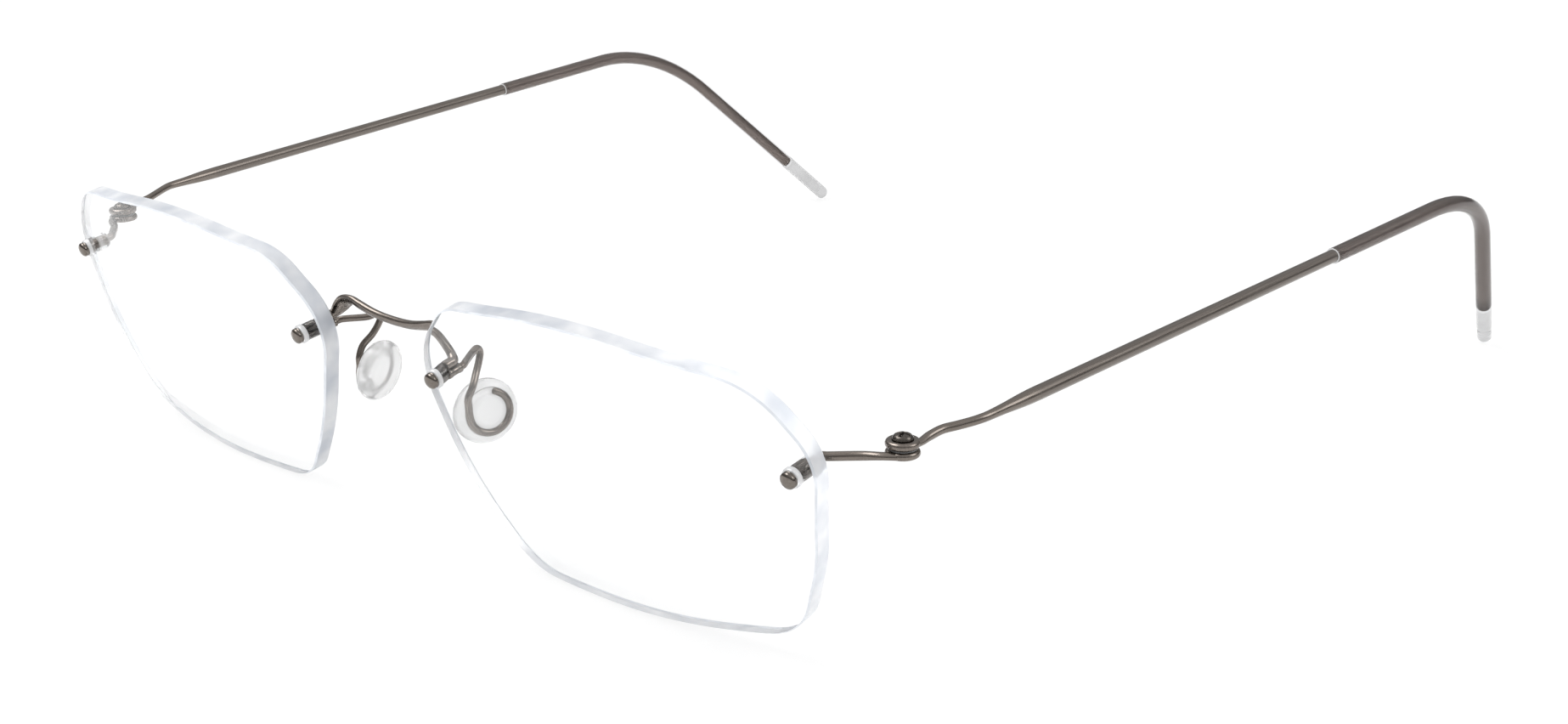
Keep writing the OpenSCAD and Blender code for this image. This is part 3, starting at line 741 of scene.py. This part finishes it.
def end_piece(side, name):
    """Wire from the temporal hole, bent back to the lower eye."""
    r = WIRE_D / 2
    skin = Skin()
    mid = LOWER_Z + EYE_T / 2
    mean = (EYE_D + SCREW_D + 2 * RUN_GAP) / 4
    ring = vec(0.64, -0.77) * mean
    front = at_lens(TEMPORAL_U, tail_stop(TEMPORAL_FACE), HOLE_RISE)
    b = at_lens(TEMPORAL_U, TEMPORAL_BACK, HOLE_RISE)
    path = [
        front,
        front + (b - front) * 0.5,
        b + PIN_AXIS * -0.1,
        b + vec(0.12, 0.25, 0.05),
        b + vec(0.75, 0.75, 0.05),
        vec(HINGE_X - 2.6, HINGE_Y - 2.75, mid - 0.2),
        vec(HINGE_X + ring[0] - 1.5, HINGE_Y + ring[1] - 1.1, mid),
        vec(HINGE_X + ring[0], HINGE_Y + ring[1], mid),
    ]
    high = [r] * (len(path) - 2) + [FLAT_R, FLAT_R]
    sweep(skin, smooth([(*p, h, r) for p, h in zip(path, high)], 10), vec(0, 0, 1), 28,
          (0.1, 0.2))
    eye_ring(skin, LOWER_Z, SCREW_D / 2 + SEAT)
    return make(name, skin, "front", [WIRE], side)


def hinge_washer(side, name):
    """Thin ring between the two eyes, coloured near-black as painted shade for the shadowed gap
    there.
    """
    r = EYE_D / 2 - 0.25
    r_in = SCREW_D / 2 + RUN_GAP
    t = WASHER_T
    profile = [(r_in, 0.0), (r - 0.04, 0.0), (r, 0.04), (r, t - 0.04), (r - 0.04, t), (r_in, t)]
    origin = vec(HINGE_X, HINGE_Y, LOWER_Z + EYE_T + SEAT)
    skin = revolve(Skin(), profile, origin, vec(0, 0, 1), 48, closed=True)
    return make(name, skin, "front", [WASHER_GAP_SHADE], side)


def hinge_screw(side, name):
    """Pan-head screw with a cross recess in its flattened dome."""
    r = HEAD_D / 2
    shank = SCREW_D / 2
    profile = [(0.0, LOWER_Z + 0.05), (shank - 0.08, LOWER_Z + 0.05), (shank, LOWER_Z + 0.13),
               (shank, HEAD_Z - 0.01), (shank + 0.02, HEAD_Z), (r - 0.05, HEAD_Z),
               (r, HEAD_Z + 0.05)]
    origin = vec(HINGE_X, HINGE_Y, 0)
    corners = 96
    skin = revolve(Skin(), profile, origin, vec(0, 0, 1), corners)
    last = list(range(len(skin.verts) - corners, len(skin.verts)))
    around = circle_angles(corners)
    turns = [a / (2 * math.pi) for a in around]
    n = 30
    for k in range(1, n):
        d = (r - 0.02) * (1 - k / n)
        height = HEAD_Z + HEAD_H * (1 - (d / r) ** 4) ** 0.7
        ring = skin.ring([origin + vec(d * math.cos(a), d * math.sin(a),
                                       height - recess(d * math.cos(a), d * math.sin(a)))
                          for a in around], turns, [0.03 * k] * corners)
        skin.join(last, ring)
        last = ring
    skin.close(last, origin + vec(0, 0, HEAD_Z + HEAD_H - recess(0, 0)), 1.0, True)
    return make(name, skin, "front", [SCREW], side)


def recess(x, y):
    """Depth of the cross in the screw's head at a point from its middle."""
    a = math.radians(20)
    u, w = abs(x * math.cos(a) + y * math.sin(a)), abs(y * math.cos(a) - x * math.sin(a))
    long, wide = HEAD_D * 0.36, 0.17
    into = min(long - max(u, w), wide - min(u, w))
    return 0.34 * max(0.0, min(1.0, into / 0.06))


def spine(start, stop_leg):
    """Centre line of rod, ear bend and leg, from a point on the rod to a leg distance."""
    bend_in = CORNER - ROD_DIR * BEND_CUT
    bend_out = CORNER + LEG_DIR * BEND_CUT
    inward = unit(LEG_DIR - (LEG_DIR @ ROD_DIR) * ROD_DIR)
    middle = bend_in + inward * BEND_R
    rod_step, bend_steps = 3.0, 32
    n = max(2, int(np.linalg.norm(bend_in - start) / rod_step))
    pts = [start + (bend_in - start) * k / n for k in range(n)]
    for k in range(bend_steps + 1):
        a = BEND_ANGLE * k / bend_steps
        pts.append(middle - inward * BEND_R * math.cos(a) + ROD_DIR * BEND_R * math.sin(a))
    end = CORNER + LEG_DIR * stop_leg
    n = max(2, int(np.linalg.norm(end - bend_out) / rod_step))
    pts += [bend_out + (end - bend_out) * k / n for k in range(1, n + 1)]
    return pts


CORE_STOP = LEG_LEN + TIP_D / 2 - TIP_END - BORE_LEN


def temple(side, name):
    """Upper eye, thin wire, leaf-shaped taper, rod, and the thinner core to the ear."""
    r = WIRE_D / 2
    mid = UPPER_Z + EYE_T / 2
    mean = (EYE_D + SCREW_D + 2 * RUN_GAP) / 4
    rod_r = ROD_D / 2
    path = [
        (mean * 0.98, 0.2, 0, FLAT_R, r),
        (mean * 0.95, 1.4, 0.02, FLAT_R, r),
        (1, 2.6, 0.16, r, r),
        (1.2, 4.2, 0.4, r, r),
        (1.85, 5.6, 0.54, r, r),
        (2.5, 7, 0.7, r, r),
        (2.9, 8.1, 0.84, r + 0.01, r + 0.01),
    ]
    path = [(p[0] + HINGE_X, p[1] + HINGE_Y, p[2] + mid, p[3], p[4]) for p in path]
    for part, grown in ((0, 0.08), (0.3, 0.3), (0.6, 0.7), (0.8, 0.9), (1, 1), (1.25, 1)):
        size = r + (rod_r - r) * grown
        path.append((*(ROD_START + ROD_DIR * TAPER_LEN * part), size, size))
    skin = Skin()
    wire = smooth(path, 8)
    start = ROD_START + ROD_DIR * TAPER_LEN * 1.25
    n = 20
    wire += [np.append(start + (SLEEVE_START - start) * k / n, [rod_r, rod_r])
             for k in range(1, n + 1)]
    for past, r_here in ((-0.26, rod_r), (-0.14, rod_r), (-0.1, rod_r), (0.0, CORE_D / 2),
                         (0.04, CORE_D / 2)):
        at = SLEEVE_START + ROD_DIR * (MOUTH_LEN + past)
        wire.append(np.append(at, [r_here, r_here]))
    core = spine(SLEEVE_START + ROD_DIR * (MOUTH_LEN + 0.4), CORE_STOP - 0.3)
    wire += [np.append(p, [CORE_D / 2, CORE_D / 2]) for p in core]
    sweep(skin, wire, vec(0, 0, 1), 32, (0.2, 0.3))
    eye_ring(skin, UPPER_Z, SCREW_D / 2 + RUN_GAP)
    obj = make(name, skin, name + "_arm", [WIRE, ROD, CORE], side)
    split_rod(obj)
    return obj


def split_rod(obj):
    """Gives the rod and the sheathed core their own finish."""
    for poly in obj.data.polygons:
        y = poly.center.y / MM
        if y > SLEEVE_START[1]:
            poly.material_index = 2
        elif y > ROD_START[1] + TAPER_LEN:
            poly.material_index = 1


def temple_sleeve(side, name):
    """Clear sheath round the core, with an empty pocket past it and a rounded tip."""
    start = SLEEVE_START
    leg = spine(start, CORE_STOP)
    steps = 4
    leg += [CORNER + LEG_DIR * (CORE_STOP + (LEG_LEN - CORE_STOP) * k / steps)
            for k in range(1, steps + 1)]
    fr = frames(leg, vec(0, 0, 1))
    corners = 40
    around = circle_angles(corners)
    turns = [a / (2 * math.pi) for a in around]
    skin = Skin()
    length = np.concatenate([[0.0], np.cumsum([np.linalg.norm(b - a)
                                               for a, b in zip(leg, leg[1:])])])
    total = length[-1]
    straight_from = total - TIP_LEN

    def outer_r(s):
        return SLEEVE_D / 2 + (TIP_D - SLEEVE_D) / 2 * min(1.0, s / straight_from)

    def ring(centre, f, r, v):
        t, a, b = f
        return skin.ring([centre + a * r * math.cos(q) + b * r * math.sin(q) for q in around],
                         turns, [v] * corners)

    outer = [ring(leg[0], fr[0], outer_r(0) - 0.07, 0.0),
             ring(leg[0] + ROD_DIR * 0.03, fr[0], outer_r(0) - 0.02, 0.03),
             ring(leg[0] + ROD_DIR * 0.1, fr[0], outer_r(0), 0.1),
             ring(leg[0] + ROD_DIR * 0.2, fr[0], outer_r(0), 0.2)]
    outer += [ring(p, f, outer_r(s), s) for p, f, s in zip(leg[1:], fr[1:], length[1:])]
    hollow_from = len(outer) - 1 - steps
    tip_r = TIP_D / 2
    for d in (15, 30, 45, 60, 75):
        a = math.radians(d)
        outer.append(ring(leg[-1] + LEG_DIR * tip_r * math.sin(a), fr[-1], tip_r * math.cos(a),
                          total + tip_r * math.sin(a)))
    for i, (a, b) in enumerate(zip(outer, outer[1:])):
        skin.join(a, b, 1 if i == 0 else 2 if i >= hollow_from else 0)
    skin.close(outer[0], leg[0], 0.0, False, 1)
    skin.close(outer[-1], leg[-1] + LEG_DIR * tip_r, total + tip_r, True, 2)
    bore = CORE_D / 2 + SEAT
    near, far = CORE_STOP + 0.02, LEG_LEN + TIP_D / 2 - TIP_END
    pocket = [(near + 0.03, 0.5), (near + 0.1, 0.8), (near + 0.3, 1.0), (near + 1.5, 1.0),
              (far - 1.5, 1.0), (far - 0.35, 1.0), (far - 0.12, 0.86), (far - 0.03, 0.55)]
    rings = [ring(CORNER + LEG_DIR * d, fr[-1], bore * share, d) for d, share in pocket]
    for a, b in zip(rings, rings[1:]):
        skin.join(b, a, 3)
    skin.close(rings[0], CORNER + LEG_DIR * near, near, True, 3)
    skin.close(rings[-1], CORNER + LEG_DIR * far, far, False, 3)
    obj = make(name, skin, name.replace("_sleeve", "_arm"),
               [TUBING, COLLAR, TUBE_TIP, TUBE_BORE], side)
    sharpen(obj, 50)
    return obj


for side, hand in ((1, "left"), (-1, "right")):
    lens(side, hand + "_lens")
    bush(side, hand + "_nasal_bush", NASAL_U, NASAL_FACE, NASAL_FACE + LENS_T)
    bush(side, hand + "_temporal_bush", TEMPORAL_U, TEMPORAL_FACE,
         TEMPORAL_FACE + LENS_T + REAR_SLEEVE)
    cap(side, hand + "_nasal_cap", NASAL_U, NASAL_FACE, CAP_D / 2 - 0.15)
    cap(side, hand + "_temporal_cap", TEMPORAL_U, TEMPORAL_FACE, WIRE_D / 2 + SEAT)
    pad_arm(side, hand + "_pad_arm")
    pad_crimp(side, hand + "_pad_crimp")
    nose_pad(side, hand + "_nose_pad")
    end_piece(side, hand + "_end_piece")
    hinge_washer(side, hand + "_hinge_washer")
    hinge_screw(side, hand + "_hinge_screw")
    temple(side, hand + "_temple")
    temple_sleeve(side, hand + "_temple_sleeve")
bridge("bridge")


# ---------------------------------------------------------------- stage, light and camera
def white_for_eyes(nodes, links, shader, share):
    """Mixes in plain white for camera rays, and for transmission rays before any glossy bounce."""
    path = add(nodes, "ShaderNodeLightPath")
    straight_on = add(nodes, "ShaderNodeMath", operation="LESS_THAN")
    links.new(path.outputs["Glossy Depth"], straight_on.inputs[0])
    straight_on.inputs[1].default_value = 0.5
    glass = add(nodes, "ShaderNodeMath", operation="MULTIPLY")
    links.new(path.outputs["Is Transmission Ray"], glass.inputs[0])
    links.new(straight_on.outputs[0], glass.inputs[1])
    most = add(nodes, "ShaderNodeMath", operation="MAXIMUM")
    links.new(path.outputs["Is Camera Ray"], most.inputs[0])
    links.new(glass.outputs[0], most.inputs[1])
    part = add(nodes, "ShaderNodeMath", operation="MULTIPLY")
    links.new(most.outputs[0], part.inputs[0])
    part.inputs[1].default_value = share
    white = add(nodes, "ShaderNodeEmission" if share < 1 else "ShaderNodeBackground")
    white.inputs["Strength"].default_value = 1.0
    white.inputs["Color"].default_value = (1, 1, 1, 1)
    mix = add(nodes, "ShaderNodeMixShader")
    links.new(part.outputs[0], mix.inputs[0])
    links.new(shader, mix.inputs[1])
    links.new(white.outputs[0], mix.inputs[2])
    return mix.outputs[0]


def make_floor():
    size = 4.0
    mesh = bpy.data.meshes.new("floor")
    mesh.from_pydata([(-size, -size, 0), (size, -size, 0), (size, size, 0), (-size, size, 0)],
                     [], [(0, 1, 2, 3)])
    floor = bpy.data.objects.new("floor", mesh)
    floor.location.z = -0.0002
    bpy.context.scene.collection.objects.link(floor)
    m, nodes, links, bsdf = new_material("pale_floor")
    bsdf.inputs["Base Color"].default_value = (0.9, 0.9, 0.9, 1)
    bsdf.inputs["Roughness"].default_value = 1.0
    bsdf.inputs["Specular IOR Level"].default_value = 0.0
    out = nodes["Material Output"]
    links.new(white_for_eyes(nodes, links, bsdf.outputs[0], 0.85), out.inputs["Surface"])
    mesh.materials.append(m)


def make_world():
    world = bpy.data.worlds.new("studio")
    bpy.context.scene.world = world
    world.use_nodes = True
    nodes, links = world.node_tree.nodes, world.node_tree.links
    nodes.clear()
    place = add(nodes, "ShaderNodeTexCoord")
    split = add(nodes, "ShaderNodeSeparateXYZ")
    links.new(place.outputs["Generated"], split.inputs[0])
    sky = ramp(nodes, links, split.outputs["Z"],
               [(0.0, (0.3, 0.3, 0.3)), (0.25, (0.45, 0.45, 0.45)), (0.6, (1.0, 1.0, 1.0)),
                (1.0, (1.3, 1.3, 1.3))])
    light = add(nodes, "ShaderNodeBackground")
    links.new(sky, light.inputs["Color"])
    light.inputs["Strength"].default_value = 0.8
    out = add(nodes, "ShaderNodeOutputWorld")
    links.new(white_for_eyes(nodes, links, light.outputs[0], 1.0), out.inputs["Surface"])


def area_light(name, at, size, watts):
    data = bpy.data.lights.new(name, "AREA")
    data.shape = "RECTANGLE"
    data.size, data.size_y = size
    data.energy = watts
    obj = bpy.data.objects.new(name, data)
    obj.location = at
    middle = Vector((0, 0, 0.015))
    obj.rotation_euler = (middle - obj.location).to_track_quat("-Z", "Y").to_euler()
    bpy.context.scene.collection.objects.link(obj)


def make_camera():
    """A long lens to the wearer's left of the front, a little above it."""
    azimuth, elevation, roll = math.radians(41.67), math.radians(19.69), math.radians(-0.32)
    back = Vector((math.sin(azimuth) * math.cos(elevation),
                   -math.cos(azimuth) * math.cos(elevation), math.sin(elevation)))
    right = Vector((math.cos(azimuth), math.sin(azimuth), 0))
    up = back.cross(right)
    tilted_right = right * math.cos(roll) + up * math.sin(roll)
    tilted_up = up * math.cos(roll) - right * math.sin(roll)
    data = bpy.data.cameras.new("camera")
    data.sensor_width = 36
    data.lens = 36 * 1.408
    data.shift_x = -0.0176
    data.shift_y = 0.0232
    data.clip_start = 0.01
    cam = bpy.data.objects.new("camera", data)
    turn = Matrix((tilted_right, tilted_up, back)).transposed().to_4x4()
    cam.matrix_world = Matrix.Translation(Vector((181.07, -202.56, 94.27)) * MM) @ turn
    bpy.context.scene.collection.objects.link(cam)
    bpy.context.scene.camera = cam


make_floor()
make_world()
area_light("key", (-0.35, -0.25, 0.7), (0.6, 0.4), 5.0)
area_light("fill", (0.6, 0.3, 0.5), (0.4, 0.4), 2.0)
make_camera()
bpy.context.scene.view_settings.view_transform = "Standard"
